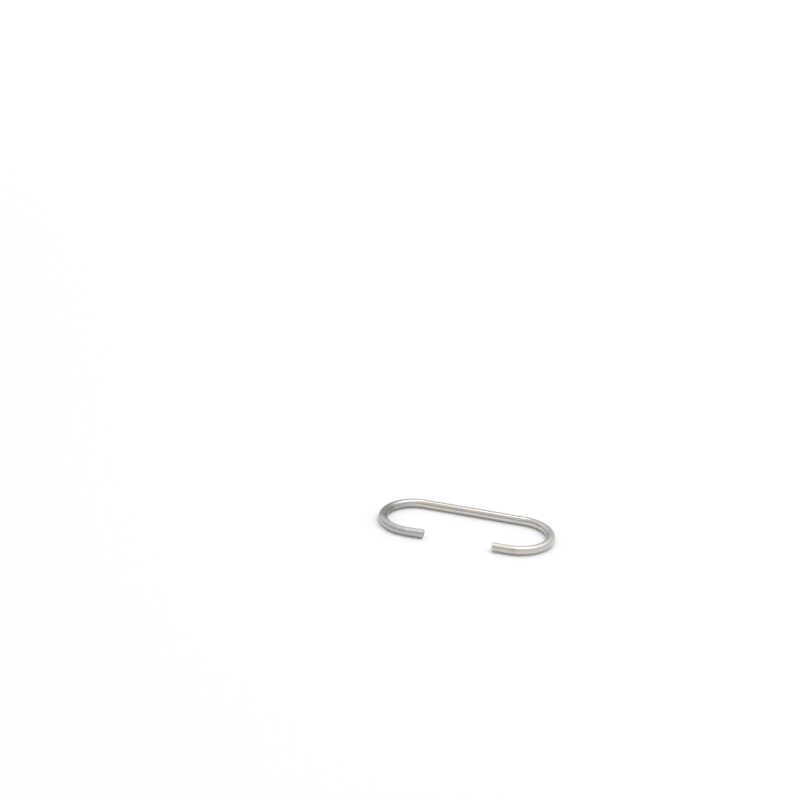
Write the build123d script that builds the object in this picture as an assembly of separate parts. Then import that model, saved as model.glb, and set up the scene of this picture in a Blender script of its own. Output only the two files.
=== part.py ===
from build123d import *
import math
import os

# A C-hook of round drawn wire: a straight spine, a bend at each end and two short tails
# that point back at each other. It lies flat, spine along X, mouth towards -Y.
# Sizes in millimetres and degrees.
wire_diameter = 2.0
spine_length = 23.4
bend_inside_diameter = 13.3
left_bend_angle = 182.0
right_bend_angle = 179.0
left_tail_length = 3.8
right_tail_length = 3.7

# Both ends are sheared: the face leans from square, its rim is dulled, and the blade
# has rolled the lower edge over.
shear_lean = 4.0
rim_radius = 0.06
roll_radius = 0.4

wire_radius = wire_diameter / 2
bend_radius = bend_inside_diameter / 2 + wire_radius
lean_offset = wire_radius * math.tan(math.radians(shear_lean))
up = Vector(0, 0, 1)


def centreline():
    # spine, then the bends and the tails, each run tangent to the one before it
    spine = Line((-spine_length / 2, 0), (spine_length / 2, 0))
    right_bend = JernArc(spine @ 1, spine % 1, bend_radius, -right_bend_angle)
    left_bend = JernArc(spine @ 0, -(spine % 0), bend_radius, left_bend_angle)
    right_tail = Line(right_bend @ 1, right_bend @ 1 + (right_bend % 1) * right_tail_length)
    left_tail = Line(left_bend @ 1, left_bend @ 1 + (left_bend % 1) * left_tail_length)
    path = Wire([left_tail, left_bend, spine, right_bend, right_tail])
    return path, left_tail, right_tail


def bent_wire(path):
    section = Plane(origin=path @ 0, z_dir=path % 0) * Circle(wire_radius)
    return sweep(section, path=path)


def end_view(tail):
    # a tail's end seen from the side: x runs out of the cut, y is up, the tip is at x = 0
    out = tail % 1
    return Plane(origin=tail @ 1, x_dir=out, z_dir=out.cross(up))


def across(tail, profile):
    # a side profile carried right across the wire
    return extrude(end_view(tail) * profile, wire_diameter, both=True)


def shear_waste(tail):
    # everything past the leaning cut, whose upper edge is the tip
    lower = (-2 * lean_offset, -wire_radius)
    upper = (0, wire_radius)
    past = make_face(Polyline(lower, (wire_diameter, -wire_radius), (wire_diameter, wire_radius), upper, close=True))
    return across(tail, past)


def roll_waste(tail):
    # the sliver between the sharp lower corner and the arc that rolls it over
    lower = (-2 * lean_offset, -wire_radius)
    corner = Polyline((-wire_diameter, -wire_radius), lower, (0, wire_radius), (-wire_diameter, wire_radius), close=True)
    sharp = make_face(corner)
    lower_right = sharp.vertices().sort_by(Axis.Y)[:2].sort_by(Axis.X)[-1]
    return across(tail, sharp - fillet(lower_right, roll_radius))


def cut_faces(hook):
    return [face for face in hook.faces() if face.geom_type == GeomType.PLANE]


def build_c_hook():
    path, left_tail, right_tail = centreline()
    tails = (left_tail, right_tail)
    hook = bent_wire(path)
    for tail in tails:
        hook -= shear_waste(tail)
    rims = [edge for face in cut_faces(hook) for edge in face.edges()]
    hook = fillet(rims, rim_radius)
    for tail in tails:
        hook -= roll_waste(tail)
    hook = hook.solids()[0]
    box = hook.bounding_box()
    return Pos(-box.center().X, -box.center().Y, -box.min.Z) * hook


c_hook = build_c_hook()
c_hook.label = "c_hook"
os.makedirs("parts", exist_ok=True)
export_step(c_hook, "parts/c_hook.step")
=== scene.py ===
import math
import random

import bmesh
import bpy
from mathutils import Matrix, Vector, noise


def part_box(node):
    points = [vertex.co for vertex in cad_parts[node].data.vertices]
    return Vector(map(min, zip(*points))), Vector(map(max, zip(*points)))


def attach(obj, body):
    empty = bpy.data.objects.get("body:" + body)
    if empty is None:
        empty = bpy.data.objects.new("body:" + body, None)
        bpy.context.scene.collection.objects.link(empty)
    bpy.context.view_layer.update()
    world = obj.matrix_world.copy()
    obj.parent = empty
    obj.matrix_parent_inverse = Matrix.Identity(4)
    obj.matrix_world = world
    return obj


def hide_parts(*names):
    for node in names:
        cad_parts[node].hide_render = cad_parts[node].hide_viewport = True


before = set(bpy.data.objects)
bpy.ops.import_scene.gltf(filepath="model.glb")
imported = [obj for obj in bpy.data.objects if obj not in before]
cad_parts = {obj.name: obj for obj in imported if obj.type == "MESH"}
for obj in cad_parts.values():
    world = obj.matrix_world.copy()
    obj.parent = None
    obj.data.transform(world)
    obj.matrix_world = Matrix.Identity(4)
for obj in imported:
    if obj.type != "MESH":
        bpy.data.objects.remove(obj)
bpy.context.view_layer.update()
mm = 0.001
print("frame loaded")


# helpers for node trees

def addNode(tree, kind, settings=None, values=None):
    node = tree.nodes.new(kind)
    for name, value in (settings or {}).items():
        setattr(node, name, value)
    for name, value in (values or {}).items():
        plug(tree, value, node.inputs[name])
    return node


def plug(tree, value, socket):
    # an output socket is linked, anything else is written on the socket
    if isinstance(value, bpy.types.NodeSocket):
        tree.links.new(value, socket)
    else:
        socket.default_value = value


def maths(tree, operation, first, second=0.0):
    node = addNode(tree, "ShaderNodeMath", {"operation": operation})
    plug(tree, first, node.inputs[0])
    plug(tree, second, node.inputs[1])
    return node.outputs[0]


def product(tree, first, second):
    return maths(tree, "MULTIPLY", first, second)


def total(tree, *values):
    result = values[0]
    for value in values[1:]:
        result = maths(tree, "ADD", result, value)
    return result


def flatVector(tree, x, y):
    return addNode(tree, "ShaderNodeCombineXYZ", None, {"X": x, "Y": y}).outputs[0]


def ramp(tree, value, low, high, fromValue=0.0, toValue=1.0):
    # a smooth step from one value to another as the input goes from low to high
    node = addNode(tree, "ShaderNodeMapRange", {"interpolation_type": "SMOOTHSTEP"}, {
        "Value": value,
        "From Min": low,
        "From Max": high,
        "To Min": fromValue,
        "To Max": toValue,
    })
    return node.outputs[0]


def mixColour(tree, factor, first, second):
    # sockets 6 and 7 are the two colours of a mix node, and output 2 is the mixed one
    node = addNode(tree, "ShaderNodeMix", {"data_type": "RGBA"})
    plug(tree, factor, node.inputs[0])
    plug(tree, first, node.inputs[6])
    plug(tree, second, node.inputs[7])
    return node.outputs[2]


# The wire: one length, bent into a spine, two bends and two tails. In mm and degrees.
wire = {
    "node": "c_hook",
    "spineLength": 23.4,
    "bendInside": 13.3,
    "leftBend": 182.0,
    "rightBend": 179.0,
    "leftTail": 3.8,
    "rightTail": 3.7,
    "sides": 144,
    "ringSpacing": 0.14,
    "arcSteps": 240,
    "weld": 0.001,  # what lies nearer than this counts as one place
}

low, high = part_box(wire["node"])
wireRadius = (high[2] - low[2]) / 2
bendRadius = wire["bendInside"] / 2 * mm + wireRadius
halfSpine = wire["spineLength"] / 2 * mm


def sideOf(along):
    return -1 if along < 0 else 1


def bendTurn(side):
    return math.radians(wire["leftBend" if side < 0 else "rightBend"])


def tailLength(side):
    return wire["leftTail" if side < 0 else "rightTail"]


def bentWireTree():
    tree = bpy.data.node_groups.new("Bent wire", "GeometryNodeTree")
    tree.interface.new_socket("Geometry", in_out="OUTPUT", socket_type="NodeSocketGeometry")
    sizes = ("Wire Radius", "Spine Length", "Bend Radius", "Left Bend", "Right Bend",
             "Left Tail", "Right Tail", "Ring Spacing")
    for name in sizes:
        tree.interface.new_socket(name, in_out="INPUT", socket_type="NodeSocketFloat")
    for name in ("Sides", "Arc Steps"):
        tree.interface.new_socket(name, in_out="INPUT", socket_type="NodeSocketInt")
    tree.interface.new_socket("Material", in_out="INPUT", socket_type="NodeSocketMaterial")
    given = tree.nodes.new("NodeGroupInput").outputs

    # the centre line: the spine, then each bend and its tail
    half = product(tree, given["Spine Length"], 0.5)
    radius = given["Bend Radius"]
    spine = addNode(tree, "GeometryNodeCurvePrimitiveLine", None, {
        "Start": flatVector(tree, product(tree, half, -1.0), 0.0),
        "End": flatVector(tree, half, 0.0),
    })
    runs = [spine.outputs[0]]
    for side, name in ((-1.0, "Left"), (1.0, "Right")):
        bend = given[name + " Bend"]
        sine = maths(tree, "SINE", bend)
        cosine = maths(tree, "COSINE", bend)
        corner = product(tree, half, side)
        arc = addNode(tree, "GeometryNodeCurveArc", {"mode": "RADIUS"}, {
            "Resolution": given["Arc Steps"],
            "Radius": radius,
            "Start Angle": math.pi / 2,
            "Sweep Angle": product(tree, bend, -side),
        })
        placed = addNode(tree, "GeometryNodeTransform", None, {
            "Geometry": arc.outputs["Curve"],
            "Translation": flatVector(tree, corner, product(tree, radius, -1.0)),
        })
        reach = product(tree, product(tree, radius, sine), side)
        drop = product(tree, radius, maths(tree, "SUBTRACT", cosine, 1.0))
        onward = product(tree, cosine, side)
        downward = product(tree, sine, -1.0)
        tail = addNode(tree, "GeometryNodeCurvePrimitiveLine", {"mode": "DIRECTION"}, {
            "Start": flatVector(tree, maths(tree, "ADD", corner, reach), drop),
            "Direction": flatVector(tree, onward, downward),
            "Length": given[name + " Tail"],
        })
        runs += [placed.outputs[0], tail.outputs[0]]

    # welded into one path, divided evenly, and swept with a circle
    joined = addNode(tree, "GeometryNodeJoinGeometry")
    for run in runs:
        tree.links.new(run, joined.inputs[0])
    edges = addNode(tree, "GeometryNodeCurveToMesh", None, {"Curve": joined.outputs[0]})
    welded = addNode(tree, "GeometryNodeMergeByDistance", None,
                     {"Geometry": edges.outputs[0], "Distance": wire["weld"] * mm})
    path = addNode(tree, "GeometryNodeMeshToCurve", None, {"Mesh": welded.outputs[0]})
    rings = addNode(tree, "GeometryNodeResampleCurve", {"mode": "LENGTH"},
                    {"Curve": path.outputs[0], "Length": given["Ring Spacing"]})
    level = addNode(tree, "GeometryNodeSetCurveNormal", {"mode": "Z_UP"}, {"Curve": rings.outputs[0]})
    circle = addNode(tree, "GeometryNodeCurvePrimitiveCircle", {"mode": "RADIUS"},
                     {"Resolution": given["Sides"], "Radius": given["Wire Radius"]})
    tube = addNode(tree, "GeometryNodeCurveToMesh", None,
                   {"Curve": level.outputs[0], "Profile Curve": circle.outputs["Curve"]})
    real = addNode(tree, "GeometryNodeRealizeInstances", None, {"Geometry": tube.outputs[0]})
    finished = addNode(tree, "GeometryNodeSetMaterial", None,
                       {"Geometry": real.outputs[0], "Material": given["Material"]})
    out = tree.nodes.new("NodeGroupOutput")
    tree.links.new(finished.outputs[0], out.inputs[0])
    return tree


def setInputs(modifier, values):
    for item in modifier.node_group.interface.items_tree:
        if item.item_type == "SOCKET" and item.in_out == "INPUT" and item.name in values:
            modifier[item.identifier] = values[item.name]


def bentWire(material):
    holder = bpy.data.objects.new("wirePath", bpy.data.meshes.new("wirePath"))
    bpy.context.collection.objects.link(holder)
    modifier = holder.modifiers.new("Bent wire", "NODES")
    modifier.node_group = bentWireTree()
    setInputs(modifier, {
        "Wire Radius": wireRadius,
        "Spine Length": 2 * halfSpine,
        "Bend Radius": bendRadius,
        "Left Bend": bendTurn(-1),
        "Right Bend": bendTurn(1),
        "Left Tail": (tailLength(-1) - shear["endLength"]) * mm,
        "Right Tail": (tailLength(1) - shear["endLength"]) * mm,
        "Ring Spacing": wire["ringSpacing"] * mm,
        "Sides": wire["sides"],
        "Arc Steps": wire["arcSteps"],
        "Material": material,
    })
    evaluated = holder.evaluated_get(bpy.context.evaluated_depsgraph_get())
    mesh = bpy.data.meshes.new_from_object(evaluated)
    mesh.name = "wireHook"
    bpy.data.objects.remove(holder)
    hook = bpy.data.objects.new("wireHook", mesh)
    bpy.context.collection.objects.link(hook)
    return hook


# Both ends are sheared: a leaning face, a dulled rim, a rolled lower edge and a torn
# upper part. In mm and degrees.
shear = {
    "endLength": 0.8,
    "lean": 4.0,
    "rimRadius": 0.06,
    "rollRadius": 0.4,
    "straightRings": 10,
    "rimRings": 6,
    "faceRings": 16,
    "cutShare": 0.7,  # how much of the rim's depth counts as cut face
    "tearFrom": -0.35,  # lowest height of the torn part, from the wire's axis
    "tearDepth": 0.02,
    "tearScale": 7.0,
    "tearDetail": (0.6, 2.0, 4),
}


def endProfile():
    # (depth below the tip, distance from the wire's axis), from the tube's last ring inwards
    length, rim, radius = shear["endLength"], shear["rimRadius"], wireRadius / mm
    pairs = []
    for step in range(1, shear["straightRings"] + 1):
        pairs.append((length - (length - rim) * step / shear["straightRings"], radius))
    for step in range(1, shear["rimRings"] + 1):
        turn = math.pi / 2 * step / shear["rimRings"]
        pairs.append((rim * (1 - math.sin(turn)), radius - rim * (1 - math.cos(turn))))
    for step in range(1, shear["faceRings"]):
        pairs.append((0.0, (radius - rim) * (1 - step / shear["faceRings"])))
    return pairs


def closeEnds(hook):
    # grows both open ends of the tube ring by ring and closes them with a centre point
    mesh = bmesh.new()
    mesh.from_mesh(hook.data)
    cut = mesh.verts.layers.float.new("cut")
    rims = [vert for vert in mesh.verts if vert.is_boundary]
    for side in (-1, 1):
        turn = bendTurn(side)
        out = Vector((side * math.cos(turn), -math.sin(turn), 0))
        lateral = Vector((-out.y, out.x, 0))
        ring = [vert for vert in rims if vert.co.x * side > 0]
        centre = sum((vert.co for vert in ring), Vector()) / len(ring)
        ring.sort(key=lambda vert: math.atan2(vert.co.z, (vert.co - centre).dot(lateral)))
        spokes = [(vert.co - centre) / wireRadius for vert in ring]
        tip = centre + out * shear["endLength"] * mm
        for depth, distance in endProfile():
            grown = [mesh.verts.new(tip - out * depth * mm + spoke * distance * mm) for spoke in spokes]
            joinRings(mesh, ring, grown)
            ring = grown
            for vert in ring:
                vert[cut] = 1.0 if depth < shear["rimRadius"] * shear["cutShare"] else 0.0
        hub = mesh.verts.new(tip)
        hub[cut] = 1.0
        for first, second in zip(ring, ring[1:] + ring[:1]):
            mesh.faces.new((first, second, hub))
    bmesh.ops.recalc_face_normals(mesh, faces=mesh.faces)
    for face in mesh.faces:
        face.smooth = True
    mesh.to_mesh(hook.data)
    mesh.free()


def joinRings(mesh, first, second):
    for at in range(len(first)):
        after = (at + 1) % len(first)
        mesh.faces.new((first[at], first[after], second[after], second[at]))


def straightened(point):
    # where a point would lie on the unbent wire: along it, out to the side, and up. In mm.
    side = sideOf(point.x)
    turn = bendTurn(side)
    away = Vector((side * point.x - halfSpine, point.y + bendRadius))
    if away.x <= 0 and away.y > 0:
        return point / mm
    angle = math.atan2(away.x, away.y) % (2 * math.pi)
    if angle <= turn:
        return Vector((side * (halfSpine + bendRadius * angle), away.length - bendRadius, point.z)) / mm
    corner = Vector((math.sin(turn), math.cos(turn))) * bendRadius
    run = Vector((math.cos(turn), -math.sin(turn)))
    beyond = away - corner
    along = halfSpine + bendRadius * turn + beyond.dot(run)
    return Vector((side * along, beyond.dot(corner.normalized()), point.z)) / mm


def wireAxes(along):
    # direction of growing along, and the outward side, at one place on the path
    side = sideOf(along)
    turn = max(0.0, abs(along) * mm - halfSpine) / bendRadius
    turn = min(turn, bendTurn(side))
    run = Vector((math.cos(turn), -side * math.sin(turn), 0))
    outward = Vector((side * math.sin(turn), math.cos(turn), 0))
    return run, outward


# What making and handling left on the surface. Depths and lengths in mm, all inwards.
# A press mark is: place along the wire, place round it in radians, length, breadth, depth.
marks = {
    "waveDepth": 0.012,
    "waveScale": 0.22,
    "dieLineDepth": 0.004,
    "dieLinesRound": 9.0,
    "dieLinesAlong": 0.03,
    "formerFlat": 0.02,
    "flatStart": 2.0,  # length of bend over which the flat comes in
    "flatEdge": 0.86,  # where the flat begins, as the cosine of the turn from the inside
    "pressMarks": (
        (-12.4, -0.5, 0.9, 0.8, 0.03),
        (12.9, -0.4, 1.0, 0.8, 0.026),
        (-35.2, 0.1, 1.1, 0.9, 0.028),
        (34.6, 0.3, 1.0, 0.9, 0.03),
        (2.6, -0.9, 1.6, 0.5, 0.02),
    ),
    "jawFrom": 0.7,
    "jawTo": 4.2,
    "jawPitch": 0.6,
    "jawDepth": 0.05,
    "jawAngle": -0.28,
    "jawSpread": 0.3,
    "biteLeast": 0.1,  # how deep each tooth bit, as a share of jawDepth
    "biteUsual": 0.7,
    "biteSpread": 1.1,
    "biteScale": 1.3,
    "biteSeed": 5,
    "dents": 90,
    "dentDepth": 0.018,
    "dentDepths": (0.2, 1.0),
    "dentSize": 0.35,
    "dentSizes": (0.4, 1.0),
    "dentShapes": (0.5, 2.5),
    "dentFall": 2.5,
    "dentEdge": 2.5,  # square of how many of its sizes a dent reaches
    "dentReach": 1.6,  # a little over the root of that, to pass over the others quickly
    "farthest": 3.0,  # no dent reaches further than this along the wire
    "fadeFrom": 0.05,  # the marks come in over this stretch from the tips
    "fadeOver": 0.3,
    "seed": 7,
}


def tipAlong(side):
    return (halfSpine + bendRadius * bendTurn(side)) / mm + tailLength(side)


def dentList():
    random.seed(marks["seed"])
    dents = []
    for _ in range(marks["dents"]):
        along = random.uniform(-tipAlong(-1), tipAlong(1))
        around = random.uniform(-math.pi, math.pi)
        length = marks["dentSize"] * random.uniform(*marks["dentSizes"])
        depth = marks["dentDepth"] * random.uniform(*marks["dentDepths"])
        breadth = length * random.uniform(*marks["dentShapes"])
        dents.append((along, around, length, breadth, depth))
    return sorted(dents + list(marks["pressMarks"]))


def unitNoise(*place):
    # smooth noise from 0 to 1
    return 0.5 + 0.5 * noise.noise(Vector(place))


def turnBetween(first, second):
    # the shorter way round from one angle to another
    return (first - second + math.pi) % (2 * math.pi) - math.pi


def surfaceDepth(along, around):
    # how far the surface lies below the true cylinder, in mm
    ring = Vector((math.cos(around), math.sin(around), 0))
    lines = ring * marks["dieLinesRound"]
    depth = marks["waveDepth"] * unitNoise(along * marks["waveScale"], ring.x, ring.y)
    depth += marks["dieLineDepth"] * unitNoise(along * marks["dieLinesAlong"], lines.x, lines.y)
    onBend = min(1.0, max(0.0, (abs(along) - halfSpine / mm) / marks["flatStart"]))
    inner = max(0.0, -ring.x - marks["flatEdge"]) / (1 - marks["flatEdge"])
    return depth + marks["formerFlat"] * onBend * inner


def dentsDepth(along, around, dents):
    depth = 0.0
    for place, turn, length, breadth, deep in dents:
        if place > along + marks["farthest"]:
            break
        reach = (along - place) / length
        if abs(reach) < marks["dentReach"]:
            sideways = turnBetween(around, turn)
            distance = reach ** 2 + (sideways * wireRadius / mm / breadth) ** 2
            if distance < marks["dentEdge"]:
                depth += deep * math.exp(-marks["dentFall"] * distance)
    return depth


def jawMarkDepth(fromTip, around):
    if not marks["jawFrom"] < fromTip < marks["jawTo"]:
        return 0.0
    grip = math.exp(-(turnBetween(around, marks["jawAngle"]) / marks["jawSpread"]) ** 2)
    tooth = 0.5 - 0.5 * math.cos(2 * math.pi * fromTip / marks["jawPitch"])
    uneven = noise.noise(Vector((fromTip * marks["biteScale"], around, marks["biteSeed"])))
    bite = max(marks["biteLeast"], marks["biteUsual"] + marks["biteSpread"] * uneven)
    return marks["jawDepth"] * grip * tooth * bite


def shapeEnd(place, fromTip):
    # leans the cut face back below its upper edge, then rolls the lower edge over
    radius = wireRadius / mm
    height = place.z + radius
    lean = math.tan(math.radians(shear["lean"]))
    slack = max(0.0, 1 - fromTip / shear["endLength"])
    faceAt = lean * (2 * radius - height)
    depth = fromTip + faceAt * slack
    fromFace = depth - faceAt
    roll = shear["rollRadius"]
    if fromFace < roll and height < roll:
        reach = Vector((roll - fromFace, roll - height))
        if reach.length > roll:
            reach = reach.normalized() * roll
            fromFace, height = roll - reach.x, roll - reach.y
    return fromFace + faceAt, height - radius


def dressSurface(hook):
    mesh = hook.data
    dents = dentList()
    # adding an attribute can move the others, so all are made before any is fetched
    mesh.attributes.new("wirePlace", "FLOAT_VECTOR", "POINT")
    mesh.attributes.new("marked", "FLOAT", "POINT")
    wirePlace, marked, cut = (mesh.attributes[name] for name in ("wirePlace", "marked", "cut"))
    places = [straightened(vert.co) for vert in mesh.vertices]
    for vert, place in zip(mesh.vertices, places):
        wirePlace.data[vert.index].vector = place
        side = sideOf(place.x)
        fromTip = tipAlong(side) - abs(place.x)
        around = math.atan2(place.z, place.y)
        run, outward = wireAxes(place.x)
        moved = vert.co.copy()
        if fromTip < shear["endLength"]:
            depth, height = shapeEnd(place, fromTip)
            moved -= run * side * (depth - fromTip) * mm
            moved.z = height * mm
        if cut.data[vert.index].value < 0.5:
            mark = dentsDepth(place.x, around, dents) + jawMarkDepth(tipAlong(-1) + place.x, around)
            marked.data[vert.index].value = mark
            fade = min(1.0, max(0.0, fromTip - marks["fadeFrom"]) / marks["fadeOver"])
            shift = (surfaceDepth(place.x, around) + mark) * fade
            spoke = outward * place.y + Vector((0, 0, place.z))
            moved -= spoke / max(math.hypot(place.y, place.z), wire["weld"]) * shift * mm
        elif place.z > shear["tearFrom"]:
            spot = Vector((place.y, place.z, side)) * shear["tearScale"]
            tear = noise.fractal(spot, *shear["tearDetail"])
            moved -= run * side * shear["tearDepth"] * (0.5 + 0.5 * tear) * mm
        vert.co = moved
    addUnrolledMap(mesh, places)
    mesh.update()


def addUnrolledMap(mesh, places):
    # u runs along the wire in cm, v once round it
    layer = mesh.uv_layers.new(name="unrolled")
    turns = [(math.atan2(place.z, place.y) / (2 * math.pi)) % 1.0 for place in places]
    for face in mesh.polygons:
        corners = [turns[mesh.loops[at].vertex_index] for at in face.loop_indices]
        seam = max(corners) - min(corners) > 0.5
        for at, v in zip(face.loop_indices, corners):
            u = places[mesh.loops[at].vertex_index].x
            layer.data[at].uv = (u / 10, v + 1 if seam and v < 0.5 else v)


# Bright drawn stainless wire. The bends are more satin than the spine, and the end of the left bend and its
# tail more so; the left bend's colour carries painted shade. Colours are linear, places in mm along the
# wire from the middle of the spine.
# A pair gives the ends of a smooth step, in mm or in a pattern's values, and two more
# numbers are what it steps between. A pattern on the straightened wire is: its scale along,
# out and up, detail, roughness, offset, and twist.
finish = {
    "patterns": {
        "drift": ((0.12, 0.6, 0.6), 2.0, 0.6, (0, 0, 0), 0.0),
        "blotch": ((0.35, 0.9, 0.9), 5.0, 0.65, (21, 4, 0), 0.6),
        "streaks": ((0.12, 9.0, 9.0), 4.0, 0.7, (3, 0, 0), 0.0),
        "fine": ((0.5, 30.0, 30.0), 3.0, 0.7, (9, 0, 0), 0.0),
        "dark": ((0.2, 5.0, 5.0), 3.0, 0.6, (31, 2, 0), 0.0),
        "scratchLines": ((0.7, 5.0, 5.0), 1.0, 0.5, (41, 0, 3), 0.4),
        "scratchPatches": ((0.5, 0.8, 0.8), 2.0, 0.5, (51, 0, 0), 0.0),
        "pitSpots": ((2.2, 4.5, 4.5), 2.0, 0.5, (61, 0, 0), 0.0),
        "shearLines": ((1.0, 16.0, 1.6), 4.0, 0.7, (71, 0, 0), 0.0),
    },
    "warm": (0.7, 0.655, 0.605, 1),
    "cool": (0.595, 0.6, 0.603, 1),
    "tint": (0.62, 0.55, 0.495, 1),
    "shade": (0.34, 0.325, 0.305, 1),
    "driftCool": (0.4, 0.7, 0.0, 0.6),
    "leftCool": 0.8,
    "blotchTint": (0.52, 0.72, 0.0, 0.5),
    # painted shade over the left bend: where it comes in, where it thins out towards the tail, what is left
    # of it there, and its strength
    "leftShadeFrom": (-20.0, -11.5),
    "leftShadeTo": (-28.6, -26.0),
    "leftShadeLeast": 0.08,
    "leftShading": 0.52,
    # painted shade on the inner side of the left bend, in place of dark reflections: where it comes in and
    # ends along the wire, its reach across in mm from the axis, and its strength
    "innerShadeFrom": (-23.5, -19.5),
    "innerShadeTo": (-30.5, -28.0),
    "innerShadeReach": (-0.45, 0.3),
    "innerShadeStrength": 1.0,
    "streakShade": (0.35, 0.75, 0.0, 0.25),
    "darkShade": (0.6, 0.72, 0.0, 0.3),
    "cutShade": 0.2,
    # painted shade in dents and jaw marks, growing with their depth
    "paintedMarkShade": 11.0,
    "pitShade": 0.4,
    "spineRough": 0.1,
    "bendRough": 0.2,
    "bendFrom": (9.5, 15.0),
    "rightFrom": (21.0, 27.0),
    "rightRough": 0.14,
    "tailFrom": (-31.5, -27.5),
    "tailRough": 0.14,
    "streakRough": 0.12,
    "blotchRough": (0.5, 0.75, 0.0, 0.07),
    "scratchRough": 0.1,
    "cutRough": 0.3,
    "scratchWidth": 0.012,
    "scratchArea": (0.48, 0.6),
    "pitArea": (0.74, 0.8),
    "heights": {"streaks": 0.8, "fine": 0.35, "scratches": -0.9, "pits": -1.5},
    "shearHeight": 5.0,
    "bumpDepth": 0.0035,  # in mm, for a height of 1
    "anisotropy": 0.35,
}


def wirePatterns(tree):
    # what the finish is worked out from: the place on the wire, the cuts, marks and patterns
    place = addNode(tree, "ShaderNodeAttribute", {"attribute_name": "wirePlace"}).outputs["Vector"]
    along, outward, _ = addNode(tree, "ShaderNodeSeparateXYZ", None, {"Vector": place}).outputs
    seen = {"along": along, "outward": outward}
    for name in ("cut", "marked"):
        seen[name] = addNode(tree, "ShaderNodeAttribute", {"attribute_name": name}).outputs["Fac"]
    for name, (scale, detail, rough, offset, twist) in finish["patterns"].items():
        mapped = addNode(tree, "ShaderNodeMapping", None, {
            "Vector": place,
            "Scale": scale,
            "Location": offset,
        })
        seen[name] = addNode(tree, "ShaderNodeTexNoise", None, {
            "Vector": mapped.outputs[0],
            "Scale": 1.0,
            "Detail": detail,
            "Roughness": rough,
            "Distortion": twist,
        }).outputs["Fac"]
    # a scratch is thin: it lies where its pattern passes the middle value
    fromMiddle = maths(tree, "ABSOLUTE", maths(tree, "SUBTRACT", seen["scratchLines"], 0.5))
    thin = ramp(tree, fromMiddle, 0.0, finish["scratchWidth"], 1.0, 0.0)
    seen["scratches"] = product(tree, thin, ramp(tree, seen["scratchPatches"], *finish["scratchArea"]))
    seen["pits"] = ramp(tree, seen["pitSpots"], *finish["pitArea"])
    return seen


def wireColour(tree, seen):
    # slow drift between warm and cool metal, darkened by streaks, and by painted shade in the marks, over
    # the left bend and along its inner side
    along = seen["along"]
    # painted shade over the left bend; where it comes in also sets where the cooler tone comes in
    leftShadeStart = ramp(tree, along, *finish["leftShadeFrom"], 1.0, 0.0)
    leftShadeEnd = ramp(tree, along, *finish["leftShadeTo"], finish["leftShadeLeast"], 1.0)
    leftShade = product(tree, leftShadeStart, leftShadeEnd)
    # painted shade on the inner side of the left bend, in place of dark reflections
    innerShadeStretch = product(tree, ramp(tree, along, *finish["innerShadeFrom"], 1.0, 0.0),
                         ramp(tree, along, *finish["innerShadeTo"]))
    innerShadeSide = ramp(tree, seen["outward"], *finish["innerShadeReach"], finish["innerShadeStrength"], 0.0)

    cooler = total(tree, ramp(tree, seen["drift"], *finish["driftCool"]),
                   product(tree, leftShadeStart, finish["leftCool"]))
    colour = mixColour(tree, maths(tree, "MINIMUM", cooler, 1.0), finish["warm"], finish["cool"])
    colour = mixColour(tree, ramp(tree, seen["blotch"], *finish["blotchTint"]), colour, finish["tint"])
    shaded = total(
        tree,
        ramp(tree, seen["streaks"], *finish["streakShade"]),
        ramp(tree, seen["dark"], *finish["darkShade"]),
        product(tree, innerShadeSide, innerShadeStretch),
        product(tree, leftShade, finish["leftShading"]),
        product(tree, seen["cut"], finish["cutShade"]),
        # painted shade in dents and jaw marks, by their depth
        product(tree, seen["marked"], finish["paintedMarkShade"]),
        product(tree, seen["pits"], finish["pitShade"]),
    )
    return mixColour(tree, maths(tree, "MINIMUM", shaded, 1.0), colour, finish["shade"])


def wireRoughness(tree, seen):
    along = seen["along"]
    fromMiddle = maths(tree, "ABSOLUTE", along)
    return total(
        tree,
        ramp(tree, fromMiddle, *finish["bendFrom"], finish["spineRough"], finish["bendRough"]),
        ramp(tree, along, *finish["tailFrom"], finish["tailRough"], 0.0),
        ramp(tree, along, *finish["rightFrom"], 0.0, finish["rightRough"]),
        product(tree, seen["streaks"], finish["streakRough"]),
        product(tree, seen["scratches"], finish["scratchRough"]),
        product(tree, seen["cut"], finish["cutRough"]),
        ramp(tree, seen["blotch"], *finish["blotchRough"]),
    )


def wireBump(tree, seen):
    # drawing lines, scratches and pits, and on the cut faces the up-and-down lines of the shear
    heights = [product(tree, seen[name], height) for name, height in finish["heights"].items()]
    uncut = maths(tree, "SUBTRACT", 1.0, seen["cut"])
    drawn = product(tree, total(tree, *heights), uncut)
    sheared = product(tree, product(tree, seen["shearLines"], seen["cut"]), finish["shearHeight"])
    bump = addNode(tree, "ShaderNodeBump", None, {
        "Strength": 1.0,
        "Distance": finish["bumpDepth"] * mm,
        "Height": total(tree, drawn, sheared),
    })
    return bump.outputs[0]


def brightWire():
    material = bpy.data.materials.new("brightWire")
    material.use_nodes = True
    tree = material.node_tree
    shader = tree.nodes["Principled BSDF"]
    shader.inputs["Metallic"].default_value = 1
    shader.inputs["Anisotropic"].default_value = finish["anisotropy"]
    seen = wirePatterns(tree)
    tangent = addNode(tree, "ShaderNodeTangent", {"direction_type": "UV_MAP", "uv_map": "unrolled"})
    plug(tree, wireColour(tree, seen), shader.inputs["Base Color"])
    plug(tree, wireRoughness(tree, seen), shader.inputs["Roughness"])
    plug(tree, wireBump(tree, seen), shader.inputs["Normal"])
    plug(tree, tangent.outputs[0], shader.inputs["Tangent"])
    return material


# The camera, worked out from the photograph: its distance from the point on the floor that
# it looks at, and where the hook lies from that point. In mm and degrees, and the clip range
# in metres.
view = {
    "elevation": 21.53,
    "distance": 435.9,
    "focalPixels": 1615.0,
    "roll": 2.367,
    "framePixels": 800,
    "sensor": 36.0,
    "clip": (0.01, 10),
    "hookRight": 18.27,
    "hookNear": 70.73,
    "hookTurn": -17.2,
}


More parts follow.
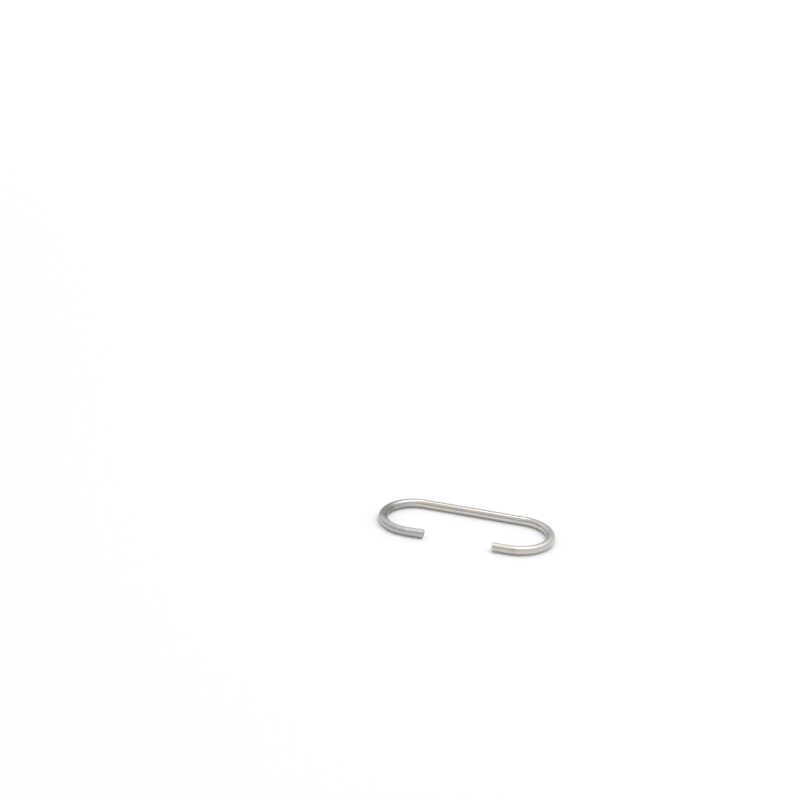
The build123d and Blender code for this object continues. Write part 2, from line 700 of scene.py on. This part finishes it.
def makeCamera(centreY):
    # the view is worked out round the point looked at, then moved and turned with the hook
    turn = Matrix.Rotation(-math.radians(view["hookTurn"]), 3, "Z")
    lift = math.radians(view["elevation"])
    hookAt = Vector((view["hookRight"], -view["hookNear"], 0))
    eye = Vector((0, -view["distance"] * math.cos(lift), view["distance"] * math.sin(lift)))
    place = turn @ (eye - hookAt)
    right = Vector((1, 0, 0))
    up = Vector((0, math.sin(lift), math.cos(lift)))
    roll = math.radians(view["roll"])
    rolledRight = turn @ (right * math.cos(roll) + up * math.sin(roll))
    rolledUp = turn @ (up * math.cos(roll) - right * math.sin(roll))
    data = bpy.data.cameras.new("camera")
    data.sensor_width = view["sensor"]
    data.lens = view["focalPixels"] * view["sensor"] / view["framePixels"]
    data.clip_start, data.clip_end = view["clip"]
    camera = bpy.data.objects.new("camera", data)
    bpy.context.collection.objects.link(camera)
    axes = Matrix((rolledRight, rolledUp, rolledRight.cross(rolledUp))).transposed().to_4x4()
    camera.matrix_world = Matrix.Translation(place * mm + Vector((0, centreY, 0))) @ axes
    bpy.context.scene.camera = camera
    return camera


# Stage and light. Places in metres from the middle of the hook: ahead as the camera looks,
# to its right, and up. Edges and sides of the room are cosines of the angle from them.
studio = {
    "floorSize": 6.0,
    "floorColour": (0.9, 0.9, 0.9, 1),
    "floorLift": (0.033, 0.28),
    "liftFrom": 0.1,
    "liftTo": 1.3,
    "roomDim": 0.36,
    "roomBright": 0.84,
    "roomSides": (-0.9, 0.9),
    "brightTurn": 0.15,  # how far the bright side is turned from the right to the camera
    "roomTop": 0.8,
    "roomRise": (0.2, 0.75),
    "cardAhead": 0.6,
    "cardRight": -0.66,
    "cardHeight": 0.43,
    "cardEdge": (0.84, 0.97),
    "cardGlow": 0.32,
    "lampPower": 4.3,
    "lampSize": 0.9,
    "lampAhead": 0.12,
    "lampRight": 0.25,
    "lampHeight": 1.0,
}


def seenByRays(tree):
    path = tree.nodes.new("ShaderNodeLightPath").outputs
    seen = maths(tree, "MAXIMUM", path["Is Camera Ray"], path["Is Glossy Ray"])
    return maths(tree, "MAXIMUM", seen, path["Is Transmission Ray"])


def makeFloor():
    bpy.ops.mesh.primitive_plane_add(size=studio["floorSize"])
    floor = bpy.context.object
    floor.name = "floor"
    material = bpy.data.materials.new("paleFloor")
    material.use_nodes = True
    tree = material.node_tree
    tree.nodes.remove(tree.nodes["Principled BSDF"])
    matt = addNode(tree, "ShaderNodeBsdfDiffuse", None, {"Color": studio["floorColour"]})
    # the lamp lights the middle, so the far floor is lifted more
    place = tree.nodes.new("ShaderNodeTexCoord").outputs["Object"]
    length = addNode(tree, "ShaderNodeVectorMath", {"operation": "LENGTH"}, {"Vector": place})
    raised = ramp(tree, length.outputs["Value"], studio["liftFrom"], studio["liftTo"], *studio["floorLift"])
    strength = product(tree, seenByRays(tree), raised)
    lift = addNode(tree, "ShaderNodeEmission", None, {"Strength": strength})
    both = addNode(tree, "ShaderNodeAddShader")
    tree.links.new(matt.outputs[0], both.inputs[0])
    tree.links.new(lift.outputs[0], both.inputs[1])
    tree.links.new(both.outputs[0], tree.nodes["Material Output"].inputs["Surface"])
    floor.data.materials.append(material)


def makeWorld(brightSide, card):
    # a pale room: dimmer low down, brighter to one side, with a white card at the back,
    # and white where the camera sees it
    world = bpy.data.worlds.new("room")
    world.use_nodes = True
    bpy.context.scene.world = world
    tree = world.node_tree
    back = tree.nodes["Background"]
    back.inputs["Color"].default_value = (1, 1, 1, 1)
    direction = tree.nodes.new("ShaderNodeTexCoord").outputs["Generated"]

    def facing(axis):
        node = addNode(tree, "ShaderNodeVectorMath", {"operation": "DOT_PRODUCT"})
        plug(tree, direction, node.inputs[0])
        plug(tree, axis, node.inputs[1])
        return node.outputs["Value"]

    height = addNode(tree, "ShaderNodeSeparateXYZ", None, {"Vector": direction}).outputs["Z"]
    lowDown = ramp(tree, facing(brightSide), *studio["roomSides"], studio["roomDim"], studio["roomBright"])
    upper = ramp(tree, height, *studio["roomRise"])
    rest = product(tree, upper, maths(tree, "SUBTRACT", studio["roomTop"], lowDown))
    cardGlow = ramp(tree, facing(card), *studio["cardEdge"], 0.0, studio["cardGlow"])
    cameraRay = tree.nodes.new("ShaderNodeLightPath").outputs["Is Camera Ray"]
    room = total(tree, lowDown, rest, cardGlow)
    plug(tree, maths(tree, "MAXIMUM", cameraRay, room), back.inputs["Strength"])


def level(direction):
    return Vector((direction.x, direction.y, 0)).normalized()


def makeLight(camera):
    ahead = level(-camera.matrix_world.col[2].to_3d())
    right = level(camera.matrix_world.col[0].to_3d())
    up = Vector((0, 0, 1))
    card = ahead * studio["cardAhead"] + right * studio["cardRight"] + up * studio["cardHeight"]
    brightSide = right - ahead * studio["brightTurn"]
    makeWorld(brightSide.normalized(), card.normalized())
    data = bpy.data.lights.new("softbox", "AREA")
    data.shape = "SQUARE"
    data.size = studio["lampSize"]
    data.energy = studio["lampPower"]
    lamp = bpy.data.objects.new("softbox", data)
    lamp.location = ahead * studio["lampAhead"] + right * studio["lampRight"] + up * studio["lampHeight"]
    lamp.rotation_euler = (-lamp.location).to_track_quat("-Z", "Y").to_euler()
    bpy.context.collection.objects.link(lamp)


def main():
    hook = bentWire(brightWire())
    closeEnds(hook)
    dressSurface(hook)
    print("hook:", len(hook.data.vertices), "points")
    # the tube was made with its spine on the X axis: it goes to the CAD solid's place
    centreY = high[1] - wireRadius
    hook.data.transform(Matrix.Translation((0, centreY, wireRadius)))
    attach(hook, "root")
    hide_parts(wire["node"])
    print("hook placed")
    camera = makeCamera(centreY)
    makeFloor()
    makeLight(camera)
    bpy.context.scene.view_settings.view_transform = "Standard"
    print("stage, light and camera set")


main()
